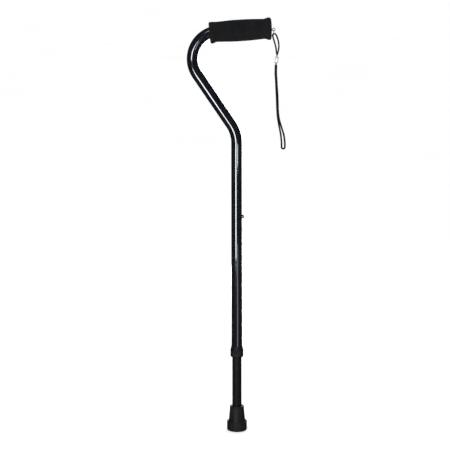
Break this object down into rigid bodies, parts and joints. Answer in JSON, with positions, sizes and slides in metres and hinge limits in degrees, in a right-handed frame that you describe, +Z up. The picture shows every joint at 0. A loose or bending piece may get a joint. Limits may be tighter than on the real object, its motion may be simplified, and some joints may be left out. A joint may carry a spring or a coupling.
{
  "type": "walking cane",
  "caption": "Offset-handle walking cane with a foam grip, a telescoping push-button shaft, a twist locking ring, a rubber tip and a clip-on wrist strap.",
  "frame": {"origin": "middle of the rubber tip's flat floor contact, on the shaft's axis", "axes": "+Z up along the shaft; the handle lies in the XZ plane with its open end towards +X; +Y is across the cane"},
  "size_m": [0.1789, 0.0394, 0.7672],
  "materials": {
    "tube_gloss": "gloss",
    "tube_satin": "satin",
    "grip_foam": "matte",
    "moulded_black": "satin",
    "collet_plastic": "satin",
    "bright_metal": "polished",
    "spring_steel": "satin",
    "button_brass": "satin",
    "tip_rubber": "matte",
    "strap_cord": "matte",
    "crimp_black": "satin",
    "sleeve_wrap": "satin"
  },
  "bodies": {
    "handle": {"upper_tube": "tube_gloss", "foam_grip": "grip_foam", "handle_plug": "moulded_black", "eye_washer": "bright_metal", "strap_eye": "bright_metal", "collar_bushing": "moulded_black"},
    "collet": {"collet_ring": "collet_plastic"},
    "lock_ring": {"lock_ring": "moulded_black"},
    "shaft": {"lower_tube": "tube_satin", "guide_sleeve": "moulded_black", "snap_spring": "spring_steel", "rubber_tip": "tip_rubber", "tip_washer": "spring_steel"},
    "button": {"snap_button": "button_brass"},
    "strap_ring": {"strap_ring": "bright_metal"},
    "strap_loop": {"strap_loop_cord": "strap_cord", "loop_crimp": "crimp_black", "swivel_post": "bright_metal"},
    "clasp": {"clasp_body": "bright_metal", "gate_pin": "bright_metal", "gate_spring": "spring_steel"},
    "clasp_gate": {"clasp_gate": "bright_metal"},
    "hand_loop": {"strap_sleeve": "sleeve_wrap", "hand_loop_cord": "strap_cord"}
  },
  "joints": [
    {"name": "shaft_extend", "type": "slide", "parent": "handle", "child": "shaft", "axis": [0, 0, -1], "range_m": [0, 0.2286], "deforming": ["snap_spring", "snap_button"]},
    {"name": "button_press", "type": "slide", "parent": "shaft", "child": "button", "axis": [-1, 0, 0], "range_m": [0, 0.005], "stiffness_N_per_m": 1000, "springref_m": -0.003, "deforming": ["snap_spring"]},
    {"name": "collet_slide", "type": "slide", "parent": "handle", "child": "collet", "axis": [0, 0, -1], "range_m": [0, 0.002]},
    {"name": "lock_ring_turn", "type": "hinge", "parent": "collet", "child": "lock_ring", "pos_m": [0, 0, 0.149], "axis": [0, 0, -1], "range_deg": [0, 360]},
    {"name": "ring_sway", "type": "hinge", "parent": "handle", "child": "strap_ring", "pos_m": [0.06664, 0, 0.74347], "axis": [1, 0, 0], "range_deg": [-60, 60]},
    {"name": "strap_swing", "type": "hinge", "parent": "strap_ring", "child": "strap_loop", "pos_m": [0.06664, 0, 0.73532], "axis": [0, 1, 0], "range_deg": [-50, 12]},
    {"name": "clasp_swivel", "type": "hinge", "parent": "strap_loop", "child": "clasp", "pos_m": [0.07286, 0, 0.6987], "axis": [0.1392, 0, 0.9903], "continuous": true},
    {"name": "gate_open", "type": "hinge", "parent": "clasp", "child": "clasp_gate", "pos_m": [0.07451, 0, 0.69322], "axis": [0, 1, 0], "range_deg": [0, 25], "stiffness_Nm_per_rad": 0.02, "springref_deg": -17.19, "deforming": ["gate_spring"]},
    {"name": "loop_tilt", "type": "hinge", "parent": "clasp", "child": "hand_loop", "pos_m": [0.07097, 0, 0.68524], "axis": [0.9903, 0, -0.1392], "range_deg": [-45, 45]}
  ],
  "couplings": [
    {"joint": "collet_slide", "follows": "lock_ring_turn", "m_per_rad": 0.0003183}
  ]
}
